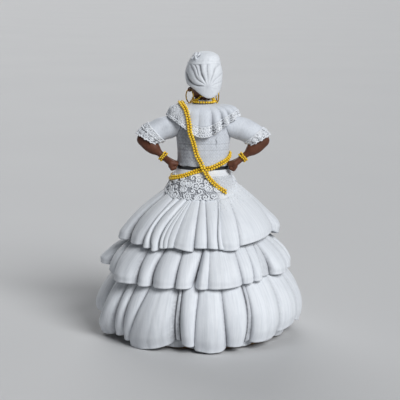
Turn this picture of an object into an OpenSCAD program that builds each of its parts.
// Figure of a woman in a tiered white dress, fists on the hips, built up on a post over a round base.
// Front faces -Y, the figure's left is +X, +Z is up, and the origin is the middle of the base's underside.

/* [Base and post] */
// Diameter of the wooden base disc
base_d = 114; // [108:1:118]
// Thickness of the base disc
base_h = 7; // [6:0.5:9]
// Height of the step on the disc that centres the skirt cone
spigot_h = 4; // [2:0.5:8]
// Diameter of the wooden post
post_d = 6; // [4:0.5:7]
// Depth of the blind socket for the post in the base
socket_depth = 5; // [3:0.5:5.5]
// Length of the post inside the head
post_in_head = 6; // [3:0.5:9]

/* [Skirt] */
// Wall of the card cone under the flounces
cone_wall = 2.5; // [1.5:0.1:4]
// Radius of the cone at its top plate
cone_top_r = 24; // [18:0.5:26]
// Thickness of the flounce sheets
sheet = 1.8; // [1.2:0.1:2.2]
// Height of the upper flounce's hem
upper_hem_z = 69.5; // [68:0.5:71]
// Radius of the upper flounce's hem
upper_hem_r = 57.5; // [57:0.5:60]
// Outward bow of the upper flounce
upper_bow = 5; // [4:0.5:6]
// How far the upper flounce's seam rises over the hips
upper_rise = 9; // [7:0.5:10]
// Height of the middle flounce's seam on the cone
middle_seam_z = 74; // [73:0.5:75]
// Radius of the middle flounce's seam
middle_seam_r = 42.5; // [41:0.5:43]
// Height of the middle flounce's hem
middle_hem_z = 47.5; // [46:0.5:49]
// Radius of the middle flounce's hem
middle_hem_r = 68; // [67:0.5:71]
// Outward bow of the middle flounce
middle_bow = 5; // [3:0.5:6]
// Height of the lower flounce's seam on the cone
lower_seam_z = 55; // [53:0.5:56]
// Radius of the lower flounce's seam
lower_seam_r = 51.5; // [50:0.5:52]
// Height of the lower flounce's hem
lower_hem_z = 5; // [4.5:0.5:8]
// How far the lower flounce's hem stands out past the petticoat's
lower_out = 5.5; // [5:0.5:8]
// Outward bow of the lower flounce
lower_bow = 10; // [8:0.5:11]
// Depth of the folds at a flounce's hem
fold_depth = 4; // [2:0.5:4.5]
// How far a wide fold's crest hangs below the hem line
fold_droop = 2; // [0:0.5:2.5]
// Height of the petticoat's seam on the cone
petticoat_seam_z = 17; // [14:0.5:20]
// How far the petticoat's hem stands out past the base disc
petticoat_out = 9; // [6:0.5:9.5]
// Height of the petticoat's hem
petticoat_hem_z = 1; // [0.5:0.5:2]

/* [Hips and waist] */
// Height of the hip yoke's flat underside
yoke_z = 98; // [97:0.5:99]
// Height of the hip yoke
yoke_h = 20; // [19:0.5:21]
// Half width of the yoke at its lower edge
yoke_half_w = 30; // [28.5:0.5:31]
// Half depth of the yoke at its lower edge
yoke_half_d = 27.5; // [26:0.5:29]
// Half width of the waist, under the belt's outer face
waist_half_w = 18.6; // [17.5:0.1:19.5]
// Half depth of the waist, under the belt's outer face
waist_half_d = 14; // [13:0.1:15]
// Height of the belt
belt_h = 3; // [2:0.5:4]
// Thickness of the belt
belt_t = 1.5; // [1:0.1:2.5]

/* [Bodice] */
// Height of the bodice above the belt
bodice_h = 42; // [41:0.5:43]
// Half width of the chest
chest_half_w = 19.8; // [19:0.1:20.5]
// Depth of the back behind the post
back_d = 13.4; // [12.5:0.1:13.8]
// Depth of the bust in front of the post
bust_d = 17; // [16:0.1:17.4]

/* [Shoulder ruffle] */
// Height of the ruffle's neck edge above the bodice
ruffle_lift = 1; // [0.9:0.1:1.3]
// Thickness of the ruffle
ruffle_t = 1.4; // [1:0.1:1.5]
// Half width over the shoulders
ruffle_half_w = 27; // [26:0.5:28]
// Depth of the hem behind the post
ruffle_back = 17.4; // [17:0.1:18]
// Depth of the hem in front of the post
ruffle_front = 21.8; // [21.6:0.1:22.5]
// Drop of the hem at the shoulders
ruffle_side_drop = 7.5; // [6:0.5:8]
// Drop of the hem at the back and front
ruffle_drop = 22.5; // [20:0.5:24]
// Depth of the ruffle's folds at the hem
ruffle_fold = 2.2; // [0.5:0.1:2.3]

/* [Arms] */
// How far the elbow stands out from the shoulder
elbow_out = 22.5; // [21.5:0.5:23.5]
// How far the elbow lies below the shoulder
elbow_drop = 10; // [9:0.5:11]
// Length of the fist from the wrist
hand_len = 6.2; // [5.6:0.2:6.8]
// Diameter of the arm wire
wire_d = 1.6; // [1:0.1:2]
// Radius of the sleeve at the shoulder
sleeve_r = 7.4; // [6.8:0.1:7.6]
// Long radius of the sleeve's opening
opening_long_r = 7.2; // [6.6:0.1:7.6]
// Short radius of the sleeve's opening
opening_short_r = 6.2; // [5.6:0.1:6.6]
// Thickness of the lace cuff
cuff_t = 1; // [0.6:0.1:1.4]
// Length of the lace cuff along the arm
cuff_len = 5.5; // [4:0.5:6]
// Radius of the forearm at the elbow
elbow_r = 4.8; // [4.2:0.1:5.2]
// Radius of the round wrist under the bracelet
wrist_r = 2.7; // [2.6:0.1:3.6]
// Length of the round wrist
wrist_len = 5.2; // [4.8:0.1:6]
// Radius of a finger
finger_r = 1.3; // [1:0.1:1.5]

/* [Head] */
// Height of the chin above the bodice
chin_lift = 3.4; // [3:0.1:4]
// Length of the neck inside the head
neck_in_head = 3.6; // [2.5:0.1:4.5]
// Radius of the neck
neck_r = 5.2; // [4.6:0.1:5.4]
// Height of the head from chin to crown
skull_h = 24; // [23:0.5:25]
// Half width of the skull
skull_half_w = 9.1; // [8.4:0.1:9.3]
// Half depth of the skull
skull_half_d = 10.6; // [10:0.1:10.8]
// Turn of the head towards the figure's left
head_turn = 22; // [0:1:30]
// Height of the turban's top above the chin
turban_h = 34; // [32.6:0.2:34]
// Half width of the turban
turban_half_w = 13.1; // [12.6:0.1:13.6]
// Half depth of the turban
turban_half_d = 14.2; // [13.6:0.1:14.8]
// Height of the turban's band
band_h = 3.8; // [3.2:0.2:4.4]
// Thickness of the band round the turban
band_t = 0.9; // [0.8:0.1:1.4]
// Radius of the turban's knot
knot_r = 2.9; // [2.4:0.1:3.2]

/* [Ornament] */
// Middle radius of an earring hoop
hoop_r = 4.7; // [4:0.1:4.9]
// Diameter of the hoop's wire
hoop_wire_d = 0.9; // [0.7:0.1:1]
// Radius of the ear lobe round its hole
lobe_r = 1.7; // [1.5:0.1:1.9]
// Thickness of the ear lobe along its hole
lobe_t = 1.2; // [0.9:0.1:1.4]
// Radius of a bead
bead_r = 0.95; // [0.8:0.05:1]
// Pitch of the beads along a strand
bead_pitch = 1.9; // [1.7:0.1:2.2]

/* [Fits] */
// Glue gap between pieces that are seated on each other
glue = 0.1; // [0.05:0.05:0.15]
// Gap between a sheet and what it is seated on
seat = 0.3; // [0.2:0.05:0.4]
// Running clearance of a bracelet on the wrist
bracelet_gap = 0.3; // [0.25:0.05:0.4]
// Clearance of the hoop's wire in the ear lobe, all round
lobe_gap = 0.1; // [0.08:0.01:0.15]

/* [Hidden] */
$fn = 48;

white = "#d8dee6";
lace_white = "#cdd5de";
skin = "#6b4332";
bead_yellow = "#e0ad28";
brass = "#8a6a2f";
wood = "#a98a5f";
card = "#b39a72";
steel = "#9aa0a6";
black = "#1c1c22";

// Levels up the figure
belt_z = yoke_z + yoke_h + glue;
bodice_z = belt_z + belt_h + glue;
neck_z = bodice_z + bodice_h;
ruffle_z = neck_z + ruffle_lift;
head_z = neck_z + chin_lift;
neck_top = head_z + neck_in_head;
post_r = post_d / 2;
post_top = neck_top + post_in_head;
base_r = base_d / 2;
petticoat_hem_r = base_r + petticoat_out;
lower_hem_r = petticoat_hem_r + lower_out;

// Plane curves and small vector helpers
function mix(a, b, t) = a + (b - a) * t;
function unit(v) = v / norm(v);
function polar(angle, a, b, n) =
  1 / pow(pow(abs(cos(angle)) / a, n) + pow(abs(sin(angle)) / b, n), 1 / n);
function around(angle, r, z) = [r * cos(angle), r * sin(angle), z];
function steps(count) = [for (i = [0 : count - 1]) 360 * i / count];
function middle(ring) = [for (k = [0 : 2]) [for (p = ring) p[k]] * [for (p = ring) 1] / len(ring)];

// A closed solid through rings of points, bottom ring first, each ring anticlockwise from above
module loft(rings, low = undef, high = undef) {
  n = len(rings[0]);
  m = len(rings);
  caps = [is_undef(low) ? middle(rings[0]) : low, is_undef(high) ? middle(rings[m - 1]) : high];
  points = concat([for (ring = rings) each ring], caps);
  sides = [for (i = [0 : m - 2], j = [0 : n - 1])
    let (a = i * n + j, b = i * n + (j + 1) % n) each [[a, a + n, b + n], [a, b + n, b]]];
  lids = [for (j = [0 : n - 1])
    let (k = (j + 1) % n) each [[m * n, j, k], [m * n + 1, (m - 1) * n + k, (m - 1) * n + j]]];
  polyhedron(points, concat(sides, lids), convexity = 6);
}

// A closed ring-shaped solid through rings of points that run up the outside and down the inside
module ring_loft(rings) {
  n = len(rings[0]);
  m = len(rings);
  points = [for (ring = rings) each ring];
  faces = [for (i = [0 : m - 1], j = [0 : n - 1])
    let (k = (j + 1) % n, up = (i + 1) % m)
    each [[i * n + j, up * n + j, up * n + k], [i * n + j, up * n + k, i * n + k]]];
  polyhedron(points, faces, convexity = 8);
}

// Turns +Z to the line from one point to another
module along(from, to) {
  d = to - from;
  translate(from) rotate([0, acos(d[2] / norm(d)), atan2(d[1], d[0])]) children();
}

module post_bore(low, high) {
  translate([0, 0, low]) cylinder(r = post_r + glue, h = high - low);
}

// Folds of a sheet: creases are angles round the figure, and reach is how far each fold stands out
function fold_table(creases, reach) = [for (i = [0 : len(creases) - 1], k = [0 : 2])
  let (next = i + 1 < len(creases) ? creases[i + 1] : creases[0] + 360, width = next - creases[i])
  [creases[i] + width * k / 3, k == 0 ? 0 : 1, k == 0 ? 0 : reach[i], k == 0 ? 0 : min(1, width / 22)]];

// Extra room under a sheet for the flats between its points
fold_lap = 0.6;

// Angles of the creases, and how far the fold after each crease stands out
upper_creases = [5, 31, 44, 52, 58, 66, 85, 95, 102, 108, 122, 150, 169, 186, 200, 214, 229, 242, 254, 268,
  281, 296, 310, 322, 336, 349];
upper_reach = [1, 1, 0, 0, 0, 1, 0, 0, 0, 0, 1, 0, 0, 1, 0, 0, 1, 0, 0, 0, 1, 0, 0, 0, 1, 1];
middle_creases = [14, 31, 49, 60, 75, 88, 97, 116, 126, 134, 141, 163, 178, 192, 207, 220, 235, 249, 262,
  276, 290, 303, 318, 331, 345];
middle_reach = [1, 1, 0, 1, 0, 0, 1, 0, 0, 0, -1, -1, 0, 0, 1, 0, 0, 1, 0, 0, 1, 0, 1, 0, 4];
lower_creases = [12, 33, 42, 49, 77, 88, 105, 119, 144, 166, 184, 199, 216, 232, 246, 262, 277, 293, 308,
  324, 340, 355];
lower_reach = [1, 0, 0, 2, 0, 1, 1, 1, 0, 1, 1, 0, 0, 1, 0, 0, 1, 0, 0, 1, 1, 1];
petticoat_folds = 20;
petticoat_depth = 2.5;
upper_lean = 2;
middle_lean = 2.5;
lower_lean = 1;
upper_bias = 1;
flounce_rows = [1, 0.75, 0.45, 0.2, 0];

// Seam of a flounce, as the radius and height of each of its folds
function level_seam(folds, r, z) = [for (f = folds) [r, z]];

// A flounce: seam, hem circle, outward bow, less of it on the figure's left where bias is set,
// and a lean of the hem to that side
module flounce(folds, seam, hem_z, hem_r, bow, bias, lean, depth, droop, rows) {
  function crest(i, s) = mix(seam[i][0], hem_r, s) + (bow - bias * cos(folds[i][0])) * sin(180 * s);
  function spot(i, s, inset) = let (
    f = folds[i],
    r = crest(i, s) + f[2] * s - depth * pow(s, 1.4) * (1 - f[1]) - inset,
    z = mix(seam[i][1], hem_z, s) - droop * f[3] * s * s)
    around(f[0], r, z) + [lean * s, 0, 0];
  last = len(folds) - 1;
  outside = [for (s = rows) [for (i = [0 : last]) spot(i, s, 0)]];
  inside = [for (s = [0, 0.5, 1]) [for (i = [0 : last]) spot(i, s, sheet)]];
  ring_loft(concat(outside, inside));
}

// Outline of hips, waist and bodice: half width, back depth and front depth by height
torso_w = [[yoke_z, yoke_half_w], [yoke_z + yoke_h * 0.25, mix(yoke_half_w, waist_half_w, 0.34)],
  [yoke_z + yoke_h * 0.55, mix(yoke_half_w, waist_half_w, 0.62)],
  [yoke_z + yoke_h * 0.8, mix(yoke_half_w, waist_half_w, 0.86)],
  [yoke_z + yoke_h, waist_half_w], [bodice_z, waist_half_w],
  [bodice_z + bodice_h * 0.12, waist_half_w - 0.4], [bodice_z + bodice_h * 0.45, chest_half_w - 0.6],
  [bodice_z + bodice_h * 0.6, chest_half_w], [bodice_z + bodice_h * 0.72, chest_half_w],
  [bodice_z + bodice_h * 0.84, chest_half_w - 0.7], [bodice_z + bodice_h * 0.92, chest_half_w - 4.6],
  [neck_z, neck_r - 0.5]];
torso_back = [[yoke_z, yoke_half_d], [yoke_z + yoke_h * 0.25, mix(yoke_half_d, waist_half_d, 0.18)],
  [yoke_z + yoke_h * 0.55, mix(yoke_half_d, waist_half_d, 0.45)],
  [yoke_z + yoke_h * 0.8, mix(yoke_half_d, waist_half_d, 0.78)],
  [yoke_z + yoke_h, waist_half_d], [bodice_z, waist_half_d],
  [bodice_z + bodice_h * 0.12, waist_half_d - 0.5], [bodice_z + bodice_h * 0.45, back_d],
  [bodice_z + bodice_h * 0.72, back_d - 0.3], [bodice_z + bodice_h * 0.84, back_d - 1.6],
  [bodice_z + bodice_h * 0.92, back_d - 3.4], [neck_z, neck_r - 0.5]];
torso_front = [[yoke_z, yoke_half_d], [yoke_z + yoke_h * 0.25, mix(yoke_half_d, waist_half_d, 0.18)],
  [yoke_z + yoke_h * 0.55, mix(yoke_half_d, waist_half_d, 0.45)],
  [yoke_z + yoke_h * 0.8, mix(yoke_half_d, waist_half_d, 0.78)],
  [yoke_z + yoke_h, waist_half_d], [bodice_z, waist_half_d],
  [bodice_z + bodice_h * 0.12, waist_half_d], [bodice_z + bodice_h * 0.3, mix(waist_half_d, bust_d, 0.4)],
  [bodice_z + bodice_h * 0.48, bust_d], [bodice_z + bodice_h * 0.6, bust_d],
  [bodice_z + bodice_h * 0.74, mix(bust_d, back_d, 0.6)], [bodice_z + bodice_h * 0.84, back_d - 0.8],
  [bodice_z + bodice_h * 0.92, back_d - 3], [neck_z, neck_r - 0.5]];
torso_power = 2.3;
function torso_depth(angle, z) = lookup(z, sin(angle) < 0 ? torso_front : torso_back);
function torso_r(angle, z) = polar(angle, lookup(z, torso_w), torso_depth(angle, z), torso_power);
function torso_x(y, z) = let (b = lookup(z, y < 0 ? torso_front : torso_back))
  lookup(z, torso_w) * pow(max(0, 1 - pow(abs(y) / b, torso_power)), 1 / torso_power);
torso_sides = 40;
function torso_ring(z, inset) =
  [for (angle = steps(torso_sides)) around(angle, torso_r(angle, z) - inset, z)];

// Skirt cone: its outer radius by height follows the seams of the flounces
cone_profile = [[base_h + glue, base_r], [lower_seam_z, lower_seam_r - sheet - seat],
  [middle_seam_z, middle_seam_r - sheet - seat], [yoke_z - glue, cone_top_r]];
function cone_r(z) = lookup(z, cone_profile);

module base_disc() {
  edge = 1.2;
  spigot_r = cone_r(base_h + spigot_h) - cone_wall - seat;
  color(wood)
  rotate_extrude()
  polygon([[0, 0], [base_r - edge, 0], [base_r, edge], [base_r, base_h], [spigot_r, base_h],
    [spigot_r, base_h + spigot_h], [post_r + glue, base_h + spigot_h],
    [post_r + glue, base_h - socket_depth], [0, base_h - socket_depth]]);
}

module centre_post() {
  low = base_h - socket_depth + glue;
  color(wood) translate([0, 0, low]) cylinder(r = post_r, h = post_top - low);
}

module skirt_cone() {
  outer = [for (p = cone_profile) [p[1], p[0]]];
  top_z = yoke_z - glue;
  inner_top = top_z - cone_wall;
  inner = [[post_r + glue, top_z], [post_r + glue, inner_top],
    [cone_r(inner_top) - cone_wall, inner_top], [cone_r(middle_seam_z) - cone_wall, middle_seam_z],
    [cone_r(lower_seam_z) - cone_wall, lower_seam_z], [base_r - cone_wall, base_h + glue]];
  color(card) rotate_extrude() polygon(concat(outer, inner));
}

module petticoat() {
  folds = fold_table([for (i = [0 : petticoat_folds - 1]) 360 * i / petticoat_folds + 6],
    [for (i = [0 : petticoat_folds - 1]) 0]);
  seam_r = cone_r(petticoat_seam_z) + fold_lap + seat + sheet;
  color(white)
  flounce(folds, level_seam(folds, seam_r, petticoat_seam_z), petticoat_hem_z, petticoat_hem_r, 0, 0, 0,
    petticoat_depth, 0, [1, 0.5, 0]);
}

module lower_flounce() {
  folds = fold_table(lower_creases, lower_reach);
  color(white)
  flounce(folds, level_seam(folds, lower_seam_r + fold_lap, lower_seam_z), lower_hem_z, lower_hem_r,
    lower_bow, 0, lower_lean, fold_depth, fold_droop, flounce_rows);
}

module middle_flounce() {
  folds = fold_table(middle_creases, middle_reach);
  color(white)
  flounce(folds, level_seam(folds, middle_seam_r + fold_lap, middle_seam_z), middle_hem_z, middle_hem_r,
    middle_bow, 0, middle_lean, fold_depth, fold_droop, flounce_rows);
}

// The upper flounce is seated round the yoke, just over its lower edge at the back and higher on the hips
module upper_flounce() {
  lap_up = 1;
  folds = fold_table(upper_creases, upper_reach);
  seam = [for (f = folds) let (z = yoke_z + lap_up + upper_rise * pow(cos(f[0]), 4))
    [torso_r(f[0], z) + fold_lap + seat + sheet, z]];
  color(white)
  flounce(folds, seam, upper_hem_z, upper_hem_r, upper_bow, upper_bias, upper_lean, fold_depth * 0.7,
    fold_droop, flounce_rows);
}

module hip_yoke() {
  levels = [0, 0.25, 0.55, 0.8, 1];
  color(lace_white)
  difference() {
    loft([for (t = levels) torso_ring(yoke_z + t * yoke_h, 0)]);
    post_bore(yoke_z - 1, yoke_z + yoke_h + 1);
  }
}

module waist_belt() {
  low = belt_z;
  high = belt_z + belt_h;
  color(black)
  ring_loft([torso_ring(low, 0), torso_ring(high, 0), torso_ring(high, belt_t),
    torso_ring(low, belt_t)]);
}

module bodice() {
  levels = [0, 0.12, 0.3, 0.45, 0.6, 0.72, 0.84, 0.92, 1];
  plug = belt_t + seat;
  color(white)
  difference() {
    loft(concat([torso_ring(belt_z, plug), torso_ring(bodice_z - glue / 2, plug)],
      [for (t = levels) torso_ring(bodice_z + t * bodice_h, 0)]));
    post_bore(belt_z - 1, neck_z + 1);
    arm_wire_path(glue);
    mirror([1, 0, 0]) arm_wire_path(glue);
  }
}

// Shoulder ruffle: outer face by angle and by share of the way from neck to hem
ruffle_neck_r = neck_r + 1.4;
ruffle_side = [[0, ruffle_neck_r], [0.2, mix(ruffle_neck_r, ruffle_half_w, 0.27)],
  [0.45, mix(ruffle_neck_r, ruffle_half_w, 0.66)], [0.7, mix(ruffle_neck_r, ruffle_half_w, 0.9)],
  [1, ruffle_half_w]];
function ruffle_run(depth) = [[0, ruffle_neck_r], [0.2, mix(ruffle_neck_r, depth, 0.4)],
  [0.45, mix(ruffle_neck_r, depth, 0.72)], [0.7, mix(ruffle_neck_r, depth, 0.86)], [1, depth]];
ruffle_back_run = ruffle_run(ruffle_back);
ruffle_front_run = ruffle_run(ruffle_front);
function falls(drop, shares) = [for (s = shares) [s[0], drop * s[1]]];
ruffle_side_fall = falls(ruffle_side_drop, [[0, 0], [0.2, 0.08], [0.45, 0.24], [0.7, 0.52], [1, 1]]);
ruffle_fall = falls(ruffle_drop, [[0, 0], [0.2, 0.098], [0.45, 0.284], [0.7, 0.596], [1, 1]]);
function ruffle_spot(angle, t) = let (
  b = lookup(t, sin(angle) < 0 ? ruffle_front_run : ruffle_back_run),
  w = pow(sin(angle), 2))
  around(angle, polar(angle, lookup(t, ruffle_side), b, 2),
    ruffle_z - mix(lookup(t, ruffle_side_fall), lookup(t, ruffle_fall), w));
function ruffle_normal(angle, t) = let (
  a = max(0, t - 0.05), b = min(1, t + 0.05),
  down = ruffle_spot(angle, b) - ruffle_spot(angle, a),
  side = ruffle_spot(angle + 2, t) - ruffle_spot(angle - 2, t))
  unit(cross(down, side));
ruffle_creases = [8, 30, 52, 71, 90, 110, 137, 149, 156, 169, 190, 206, 222, 238, 254, 270, 286, 302, 318,
  334, 350];
ruffle_folds = fold_table(ruffle_creases, [for (c = ruffle_creases) 0]);
lace_share = 0.8;
function ruffle_point(f, t, inset) = let (n = ruffle_normal(f[0], t))
  ruffle_spot(f[0], t) - n * (inset + ruffle_fold * t * t * (1 - f[1]));
module ruffle_shell(shares, inset) {
  function face(t, depth) = [for (f = ruffle_folds) ruffle_point(f, t, depth)];
  outside = [for (i = [len(shares) - 1 : -1 : 0]) face(shares[i], inset)];
  inside = [for (t = shares) face(t, ruffle_t)];
  ring_loft(concat(outside, inside));
}

module shoulder_ruffle() {
  color(white) ruffle_shell([0, 0.2, 0.45, 0.65, lace_share - 0.005], 0);
}

module ruffle_lace() {
  color(lace_white) ruffle_shell([lace_share + 0.005, 0.9, 1], -0.2);
}

module collar_frill() {
  r = neck_r + seat;
  h = 2.2;
  flare = 0.4;
  count = 28;
  wave = [for (i = [0 : count - 1]) i % 2 == 0 ? 0.2 : -0.2];
  function rim(radius, z) = [for (i = [0 : count - 1]) around(360 * i / count, radius + wave[i], z)];
  color(lace_white)
  ring_loft([rim(r + 0.7, ruffle_z + seat), rim(r + 0.7 + flare, ruffle_z + h), rim(r + 0.2 + flare,
    ruffle_z + h), rim(r + 0.2, ruffle_z + seat)]);
}

// Left arm: the wire runs from the bodice to the elbow and back to the fist on the hip
shoulder_z = bodice_z + bodice_h * 0.645;
shoulder = [torso_x(1.3, shoulder_z), 1.3, shoulder_z];
elbow = shoulder + [elbow_out, 1.7, -elbow_drop];
fist_z = belt_z + belt_h;
fist_y = 7.4;
fist = [torso_x(fist_y, fist_z) + 5, fist_y, fist_z];
arm_dir = unit(fist - elbow);
forearm_len = norm(fist - elbow) - hand_len;
wire_in_torso = 9;
wire_in_hand = 4;
wire_start = shoulder - wire_in_torso * unit(elbow - shoulder);
wire_end = elbow + (forearm_len + wire_in_hand) * arm_dir;

module arm_wire_path(grow) {
  r = wire_d / 2 + grow;
  along(elbow, wire_start) cylinder(r = r, h = norm(elbow - wire_start) + grow);
  translate(elbow) sphere(r = r);
  along(elbow, wire_end) cylinder(r = r, h = norm(wire_end - elbow) + grow);
}

module arm_wire() {
  color(steel) arm_wire_path(0);
}

// Forearm turned round its own line, grown by a clearance where it is cut out of a sleeve
module forearm_solid(grow) {
  wrist_low = forearm_len - wrist_len;
  end = grow > 0 ? forearm_len + hand_len : forearm_len;
  arc = [for (a = [-90 : 15 : 0]) (elbow_r + grow) * [cos(a), sin(a)]];
  along(elbow, fist)
  rotate_extrude()
  polygon(concat(arc, [[elbow_r + grow, wrist_low * 0.3], [elbow_r * 0.92 + grow, wrist_low * 0.6],
    [wrist_r + grow, wrist_low], [wrist_r + grow, end], [0, end]]));
}

module forearm() {
  color(skin)
  difference() {
    forearm_solid(0);
    arm_wire_path(glue);
  }
}

// Sleeve: rings swing from the armhole to the oblique opening above the elbow
opening = elbow + [-2.6, 0, 1.4];
opening_dir = unit([0.5, 0.03, -0.87]);
sleeve_start_dir = unit([1, 0, -0.25]);
sleeve_knee = mix(shoulder, opening, 0.55) + [0.8, 0, 1.6];
sleeve_sides = 20;
function sleeve_mid(t) = (1 - t) * (1 - t) * shoulder + 2 * t * (1 - t) * sleeve_knee + t * t * opening;
function sleeve_dir(t) = unit(mix(sleeve_start_dir, opening_dir, t));
function sleeve_ring(t, grow, shift, scale_by = 1) = let (
  n = sleeve_dir(t), e2 = unit([0, 1, 0] - n[1] * n), e1 = cross(n, e2),
  a = scale_by * (mix(sleeve_r, opening_long_r, t) + 0.7 * sin(180 * t)) + grow,
  b = scale_by * (mix(sleeve_r, opening_short_r, t) + 0.7 * sin(180 * t)) + grow)
  [for (i = [0 : sleeve_sides - 1]) let (q = 360 * i / sleeve_sides)
    sleeve_mid(t) + n * shift + b * cos(q) * e2 + a * sin(q) * e1];
function on_torso(p) = [torso_x(p[1], p[2]) + seat + 0.2, p[1], p[2]];
function armhole(share) = [for (p = sleeve_ring(0, 0, 0, share)) on_torso(p)];
cuff_start = 0.74;

module sleeve() {
  color(white)
  difference() {
    loft(concat([armhole(0.45), armhole(1)], [for (t = [0.2, 0.45, 0.7, 0.88, 1]) sleeve_ring(t, 0, 0)]),
      low = on_torso(sleeve_mid(0)));
    forearm_solid(seat);
    arm_wire_path(glue);
  }
}

module cuff() {
  wave = 0.5;
  hem = cuff_len - norm(opening - sleeve_mid(cuff_start));
  function rim(grow) = let (ring = sleeve_ring(1, grow, hem))
    [for (i = [0 : sleeve_sides - 1]) ring[i] + opening_dir * (i % 2 == 0 ? wave : -wave)];
  color(lace_white)
  difference() {
    ring_loft([sleeve_ring(cuff_start, seat + cuff_t * 0.6, 0), sleeve_ring(0.88, seat + cuff_t, 0),
      rim(seat + cuff_t * 1.6), rim(seat + cuff_t * 0.4), sleeve_ring(0.88, seat, 0),
      sleeve_ring(cuff_start, seat, 0)]);
    forearm_solid(seat);
  }
}

// Fist: palm from the wrist to the knuckles, four fingers curled to the hip, and a thumb in front
module ball(p, r) {
  translate(p) sphere(r = r, $fn = 10);
}
module hand() {
  wrist = elbow + (forearm_len + glue) * arm_dir;
  low_z = fist_z - 2.6;
  pitch = finger_r * 1.75;
  function finger_y(i) = fist_y + (i - 1.5) * pitch;
  function tip_x(i) = torso_x(finger_y(i) - finger_r, low_z) + finger_r + seat;
  knuckle_x = fist[0] + 0.4;
  color(skin)
  difference() {
    union() {
      hull() {
        along(wrist, fist) translate([0, 0, 0.05]) cylinder(r = wrist_r * 0.96, h = 0.6, $fn = 16);
        for (i = [0, 3]) ball([knuckle_x, finger_y(i), low_z + 0.6], finger_r * 1.1);
        for (i = [0, 3]) ball([tip_x(i) + 0.9, finger_y(i), low_z + 2.2], finger_r * 0.9);
      }
      for (i = [0 : 3])
        hull() {
          ball([knuckle_x, finger_y(i), low_z], finger_r);
          ball([tip_x(i), finger_y(i), low_z + 0.3], finger_r);
        }
      hull() {
        ball([knuckle_x + 0.6, finger_y(0) - 0.3, low_z + 3.4], finger_r);
        ball([knuckle_x - 1.2, finger_y(0) - 0.9, low_z + 0.6], finger_r * 0.9);
      }
    }
    arm_wire_path(glue);
  }
}

module bracelet() {
  row_r = wrist_r + bracelet_gap + bead_r;
  mid = forearm_len - wrist_len / 2;
  color(bead_yellow)
  along(elbow, fist) translate([0, 0, mid])
  rotate_extrude()
  union() {
    translate([row_r, bead_r * 0.9]) circle(r = bead_r, $fn = 24);
    translate([row_r, -bead_r * 0.9]) circle(r = bead_r, $fn = 24);
  }
}

module neck() {
  color(skin)
  difference() {
    translate([0, 0, neck_z + glue]) cylinder(r = neck_r, h = neck_top - neck_z - glue);
    post_bore(neck_z - 1, neck_top + 1);
  }
}

// Head: share of the height, then shares of half width, half depth and forward set at each level
skull_rows = [[0, 0.36, 0.38, -0.44], [0.07, 0.6, 0.55, -0.34], [0.17, 0.8, 0.78, -0.17],
  [0.29, 0.92, 0.9, -0.07], [0.46, 0.98, 0.97, -0.01], [0.62, 1, 1, 0.02], [0.79, 0.93, 0.93, 0.03],
  [0.92, 0.72, 0.72, 0.03], [1, 0.36, 0.36, 0.03]];
brow_share = 0.6;
nose_z = skull_h / 3;
function nose(angle, level) = 1.7 * exp(-pow((level - nose_z) / 2.4, 2)) * exp(-pow((angle - 270) / 9, 2));
module in_head() {
  rotate(head_turn) children();
}

module head() {
  count = 36;
  rings = [for (row = skull_rows) [for (angle = steps(count))
    let (r = polar(angle, row[1] * skull_half_w, row[2] * skull_half_d, 2)
      + nose(angle, row[0] * skull_h))
    around(angle, r, head_z + row[0] * skull_h) + [0, row[3] * skull_half_d, 0]]];
  color(skin)
  difference() {
    in_head() loft(rings);
    translate([0, 0, neck_z]) cylinder(r = neck_r + glue, h = neck_top - neck_z + glue);
    post_bore(neck_z, post_top + glue);
  }
}

// Turban: cloth over the skull, its rim low at the nape and high on the brow
turban_top = head_z + turban_h;
turban_rows = [[0, 0.78, 0.76], [0.15, 0.88, 0.9], [0.27, 0.95, 0.97], [0.42, 1, 1], [0.54, 1, 1],
  [0.69, 0.95, 0.95], [0.81, 0.86, 0.86], [0.9, 0.76, 0.76], [0.965, 0.58, 0.58], [1, 0.2, 0.2]];
turban_w = [for (row = turban_rows) [head_z + row[0] * turban_h, row[1] * turban_half_w]];
turban_d = [for (row = turban_rows) [head_z + row[0] * turban_h, row[2] * turban_half_d]];
cap_gap = 0.6;
cap_top = skull_h + 3 * cap_gap;
cap_rows = concat([[-2, 1]],
  [for (row = skull_rows) if (row[0] >= brow_share) [row[0] * skull_h + 1, row[1]]], [[cap_top, 0.08]]);
cap_w = [for (row = cap_rows) [head_z + row[0], row[1] * skull_half_w + cap_gap]];
cap_d = [for (row = cap_rows) [head_z + row[0], row[1] * skull_half_d + cap_gap + 0.2]];
rim_side = 0.307 * turban_h;
rim_rise = 0.253 * turban_h;
function turban_rim(angle) = head_z + rim_side
  - rim_rise * (sin(angle) < 0 ? sin(angle) : pow(sin(angle), 2.2));
turban_sides = 36;
function turban_spot(angle, t, top, w, d) = let (z = mix(turban_rim(angle), top, t))
  around(angle, polar(angle, lookup(z, w), lookup(z, d), 2), z);
knot_angle = 18;
knot_z = head_z + 0.95 * turban_h;
function turban_r(angle, z) = polar(angle, lookup(z, turban_w), lookup(z, turban_d), 2);
knot = around(knot_angle, turban_r(knot_angle, knot_z) + 0.1 * knot_r, knot_z);
band_low = head_z + 0.765 * turban_h;
band_high = band_low + band_h;

module turban_wrap() {
  outside = [for (t = [0, 0.16, 0.34, 0.52, 0.68, 0.82, 0.92, 0.98]) [for (angle = steps(turban_sides))
    turban_spot(angle, t, turban_top, turban_w, turban_d)]];
  inside = [for (t = [0.98, 0.9, 0.8, 0.65, 0.4, 0]) [for (angle = steps(turban_sides))
    turban_spot(angle, t, head_z + cap_top, cap_w, cap_d)]];
  color(white)
  difference() {
    in_head() turban_shell(outside, inside);
    in_head() translate(knot) sphere(r = knot_r + glue);
  }
}

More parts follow.
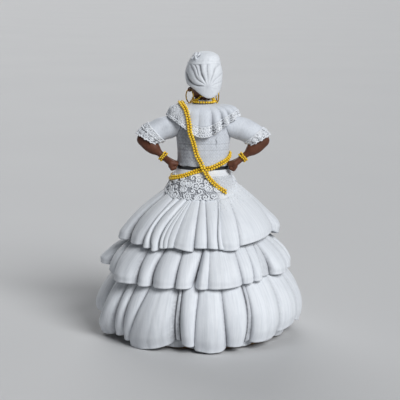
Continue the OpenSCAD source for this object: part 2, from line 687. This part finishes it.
// A dome with a hollow: rings up the outside to a pole, then from the inner pole down to the rim
module turban_shell(outside, inside) {
  n = turban_sides;
  rings = concat(outside, inside);
  m = len(rings);
  k = len(outside);
  points = concat([for (ring = rings) each ring],
    [middle(outside[k - 1]) + [0, 0, 0.3], middle(inside[0]) + [0, 0, 0.3]]);
  walls = [for (i = [0 : m - 1], j = [0 : n - 1])
    if (i != k - 1)
      let (a = i * n + j, b = i * n + (j + 1) % n, up = (i + 1) % m, c = up * n + j, d = up * n + (j + 1) % n)
      each [[a, c, d], [a, d, b]]];
  poles = [for (j = [0 : n - 1]) let (q = (j + 1) % n)
    each [[m * n, (k - 1) * n + q, (k - 1) * n + j], [m * n + 1, k * n + j, k * n + q]]];
  polyhedron(points, concat(walls, poles), convexity = 8);
}

module turban_band() {
  function rim(z, grow) = [for (angle = steps(turban_sides))
    around(angle, turban_r(angle, z) + grow, z)];
  mid = (band_low + band_high) / 2;
  color(white)
  difference() {
    in_head() ring_loft([rim(band_low, band_t), rim(mid, band_t + 0.2), rim(band_high, band_t),
      rim(band_high, seat), rim(mid, seat), rim(band_low, seat)]);
    in_head() translate(knot) sphere(r = knot_r + glue);
  }
}

module turban_knot() {
  out = unit([knot[0], knot[1], 0]);
  side = [-out[1], out[0], 0];
  color(white)
  in_head() union() {
    translate(knot) sphere(r = knot_r);
    for (s = [-1, 1])
      hull() {
        ball(knot + out * 1.2, 1.1);
        ball(knot + out * 3 + side * s * 2.6 + [0, 0, 1.4 * s], 1.2);
      }
  }
}

// Ears: lobes under the turban's rim, each with a hole that the hoop hangs through
hoop_skew = 12;
lobe_z = head_z + 0.317 * skull_h;
lobe_x = skull_half_w + 1.5;
hole_r = hoop_wire_d / 2 + lobe_gap;

// Places a child at the left lobe, with +Z along its hole
module at_lobe(side) {
  in_head() translate([side * lobe_x, 0, lobe_z]) rotate([-90, 0, side * hoop_skew]) children();
}

module ear(side) {
  root = skull_half_w * 0.93 + seat;
  color(skin)
  difference() {
    union() {
      at_lobe(side) translate([0, 0, -lobe_t / 2]) cylinder(r = lobe_r, h = lobe_t);
      in_head() hull() {
        translate([side * (root + 0.9), -0.9, lobe_z + 1.5]) sphere(r = 0.8, $fn = 10);
        translate([side * (root + 0.9), 0.9, lobe_z + 1.5]) sphere(r = 0.8, $fn = 10);
        translate([side * (root + 0.7), 0, lobe_z]) sphere(r = 0.6, $fn = 10);
      }
    }
    at_lobe(side) translate([0, 0, -lobe_t]) cylinder(r = hole_r, h = lobe_t * 2);
  }
}

module earring(side) {
  color(brass)
  at_lobe(side) translate([0, hoop_r, 0]) rotate([0, 90, 0])
  rotate_extrude() translate([hoop_r, 0]) circle(r = hoop_wire_d / 2, $fn = 24);
}

// Bead strands: a smooth line through chosen stations, with its outward side from a second line
function curve(p0, p1, p2, p3, t) = 0.5 * (2 * p1 + (p2 - p0) * t + (2 * p0 - 5 * p1 + 4 * p2 - p3) * t * t
  + (3 * p1 - p0 - 3 * p2 + p3) * t * t * t);
function smooth(p, closed) = let (n = len(p), q = 8) closed
  ? [for (i = [0 : n], k = [0 : i < n ? q - 1 : 0])
      curve(p[(i + n - 1) % n], p[i % n], p[(i + 1) % n], p[(i + 2) % n], k / q)]
  : [for (i = [0 : n - 2], k = [0 : i < n - 2 ? q - 1 : q])
      curve(p[max(i - 1, 0)], p[i], p[i + 1], p[min(i + 2, n - 1)], k / q)];
function run(p) = [for (i = 0, s = 0; i < len(p);
  s = s + (i + 1 < len(p) ? norm(p[i + 1] - p[i]) : 0), i = i + 1) s];
function at(p, s, d) = [for (k = [0 : 2]) lookup(d, [for (i = [0 : len(p) - 1]) [s[i], p[i][k]]])];
function single_row(k) = [for (i = [0 : 5]) k * bead_r * [cos(60 * i), sin(60 * i)]];
function double_row(k) = let (h = k * bead_r, w = bead_r + h) [[0.4 * bead_r, 0], [h, bead_r], [0, w],
  [-h, bead_r], [-0.4 * bead_r, 0], [-h, -bead_r], [0, -w], [h, -bead_r]];
bead_waist = 0.62;
module strand(line, lift, double, closed) {
  p = smooth(line, closed);
  q = smooth(lift, closed);
  s = run(p);
  total = s[len(s) - 1];
  count = round(total / bead_pitch);
  function ring(i) = let (
    d = total * i / (2 * count),
    low = closed && i == 0 ? at(p, s, total - 0.3) : at(p, s, max(0, d - 0.3)),
    t = unit(at(p, s, min(total, d + 0.3)) - low),
    up = at(q, s, d) - at(p, s, d), n = unit(up - (up * t) * t), b = cross(t, n),
    k = i % 2 == 1 ? 1 : bead_waist)
    [for (c = double ? double_row(k) : single_row(k)) at(p, s, d) + c[0] * n + c[1] * b];
  rings = [for (i = [0 : closed ? 2 * count - 1 : 2 * count]) ring(i)];
  if (closed) ring_loft(rings);
  else loft(rings);
}

// A station is on the torso (angle, height), on the ruffle (angle, share), or free in the air
bead_lift = bead_r + seat;
function torso_spot(angle, z) = around(angle, torso_r(angle, z), z);
function torso_normal(angle, z) = let (
  side = torso_spot(angle + 2, z) - torso_spot(angle - 2, z),
  up = torso_spot(angle, z + 1) - torso_spot(angle, z - 1))
  unit(cross(side, up));
function torso_station(angle, z, h) = torso_spot(angle, z) + torso_normal(angle, z) * h;
function ruffle_station(angle, t, h) = ruffle_spot(angle, t) + ruffle_normal(angle, t) * (h + 0.2);
function place(stations, h) = [for (a = stations)
  a[0] == "torso" ? torso_station(a[1], a[2], a[3] + h)
  : a[0] == "ruffle" ? ruffle_station(a[1], a[2], a[3] + h)
  : around(a[1], a[2] + h, a[3])];
module laid_strand(stations, double, closed) {
  color(bead_yellow)
  strand(place(stations, bead_lift), place(stations, bead_lift + 2), double, closed);
}

module collar_beads() {
  r = neck_r + seat + 2.3;
  z = ruffle_z + bead_lift;
  line = [for (a = [0 : 30 : 330]) around(a, r, z)];
  lift = [for (a = [0 : 30 : 330]) around(a, r, z + 2)];
  color(bead_yellow) strand(line, lift, false, true);
}

// Heights along a strand as shares of the piece that it lies on
function on_yoke(share) = yoke_z + share * yoke_h;
function on_belt(share) = belt_z + share * belt_h;
function on_bodice(share) = bodice_z + share * bodice_h;
function on_neck(share) = mix(ruffle_z, neck_top, share);

// Stations of the strand round the neck, over the collar and down the front
neck_stations = [["free", 90, neck_r, on_neck(0.867)], ["free", 60, neck_r, on_neck(0.767)],
  ["free", 35, neck_r + 0.4, on_neck(0.633)], ["free", 10, neck_r + 1.1, on_neck(0.583)],
  ["free", -15, neck_r + 1.5, on_neck(0.55)], ["free", -38, neck_r + 3, on_neck(0.417)],
  ["ruffle", -54, 0.36, 0.3], ["ruffle", -66, 0.55, 0], ["ruffle", -76, 0.72, 0],
  ["ruffle", -84, 0.86, 0], ["ruffle", -90, 0.9, 0], ["ruffle", -96, 0.86, 0], ["ruffle", -104, 0.72, 0],
  ["ruffle", -114, 0.55, 0], ["ruffle", -126, 0.36, 0.3], ["free", -142, neck_r + 2.1, on_neck(0.5)],
  ["free", -165, neck_r + 0.8, on_neck(0.55)], ["free", 170, neck_r + 1.1, on_neck(0.583)],
  ["free", 145, neck_r + 0.4, on_neck(0.633)], ["free", 120, neck_r, on_neck(0.767)]];
module neck_strand() {
  laid_strand(neck_stations, false, true);
}

// Stations of the strand over the left shoulder, front end first, with its tail on the yoke
over = 2 * bead_r + seat;
shoulder_stations = [["torso", -118, on_bodice(0.155), 0], ["torso", -108, on_bodice(0.262), 0],
  ["torso", -96, on_bodice(0.333), 0.6], ["torso", -84, on_bodice(0.393), 3], ["ruffle", -74, 1, over],
  ["ruffle", -66, 0.86, over], ["ruffle", -54, 0.66, over], ["ruffle", -40, 0.47, 0.4],
  ["ruffle", -20, 0.38, 0.1], ["ruffle", 4, 0.34, 0], ["ruffle", 25, 0.38, 0], ["ruffle", 43, 0.48, 0],
  ["ruffle", 53, 0.66, 0], ["ruffle", 58, 0.84, 0], ["ruffle", 61, 1, 0.2],
  ["torso", 63, on_bodice(0.417), 1.6], ["torso", 66, on_bodice(0.321), 0],
  ["torso", 72, on_bodice(0.19), 0.2], ["torso", 80, on_bodice(0.1), 1],
  ["torso", 86, on_bodice(0.036), over], ["torso", 92, on_belt(0.4), over],
  ["torso", 96, on_yoke(0.9), over], ["torso", 101, on_yoke(0.75), 1.2],
  ["torso", 110, on_yoke(0.575), 0.1], ["torso", 119, on_yoke(0.4), 0.1], ["torso", 128, on_yoke(0.26), 0.1]];
module shoulder_strand() {
  laid_strand(shoulder_stations, true, false);
}

// Stations of the slanting double strand, low on the left hip and high at the right side
waist_stations = [["torso", 20, on_yoke(0.62), 0], ["torso", 45, on_yoke(0.75), 0],
  ["torso", 70, on_yoke(0.93), 0], ["torso", 92, on_belt(0.467), 0], ["torso", 115, on_bodice(0.024), 0],
  ["torso", 140, on_bodice(0.105), 0], ["torso", 162, on_bodice(0.167), 0],
  ["torso", 180, on_bodice(0.181), 0], ["torso", 200, on_bodice(0.167), 0],
  ["torso", 225, on_bodice(0.095), 0], ["torso", 250, on_bodice(0.024), 0],
  ["torso", 275, on_belt(0.133), 0], ["torso", 300, on_yoke(0.88), 0], ["torso", 325, on_yoke(0.73), 0],
  ["torso", 350, on_yoke(0.63), 0]];
module waist_strand() {
  laid_strand(waist_stations, true, true);
}

module right() {
  mirror([1, 0, 0]) children();
}

base_disc();
centre_post();
skirt_cone();
petticoat();
lower_flounce();
middle_flounce();
upper_flounce();
hip_yoke();
waist_belt();
bodice();
shoulder_ruffle();
ruffle_lace();
collar_frill();
sleeve();  // left_sleeve
right() sleeve();  // right_sleeve
cuff();  // left_cuff
right() cuff();  // right_cuff
arm_wire();  // left_arm_wire
right() arm_wire();  // right_arm_wire
forearm();  // left_forearm
right() forearm();  // right_forearm
hand();  // left_hand
right() hand();  // right_hand
bracelet();  // left_bracelet
right() bracelet();  // right_bracelet
neck();
head();
ear(1);  // left_ear
ear(-1);  // right_ear
turban_wrap();
turban_band();
turban_knot();
earring(1);  // left_earring
earring(-1);  // right_earring
collar_beads();
neck_strand();
shoulder_strand();
waist_strand();
